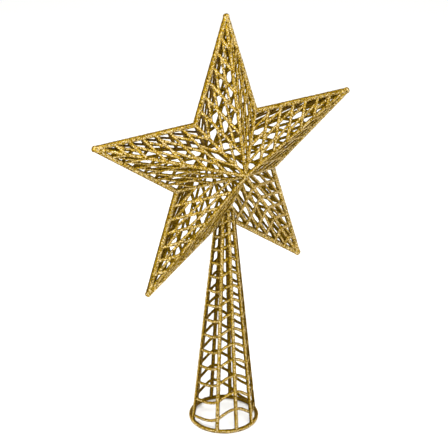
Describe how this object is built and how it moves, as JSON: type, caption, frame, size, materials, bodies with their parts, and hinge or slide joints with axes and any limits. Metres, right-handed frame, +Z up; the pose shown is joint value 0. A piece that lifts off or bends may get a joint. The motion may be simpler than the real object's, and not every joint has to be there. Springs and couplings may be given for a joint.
{
  "type": "christmas tree topper star",
  "caption": "Hollow pointed lattice star on an open tapered stem that slips over the top shoot of a christmas tree.",
  "frame": {"origin": "centre of the stem's foot ring, on the surface it stands on", "axes": "+Z up the stem to the star's top point, -Y out of the star's front, +X to the right as seen from the front"},
  "size_m": [0.2338, 0.0626, 0.3534],
  "materials": {
    "gold_glitter": "moulded plastic coated all over with fine gold glitter"
  },
  "bodies": {
    "root": {"star_front_shell": "gold_glitter", "star_back_shell": "gold_glitter", "stem_front_half": "gold_glitter", "stem_back_half": "gold_glitter"}
  },
  "joints": []
}
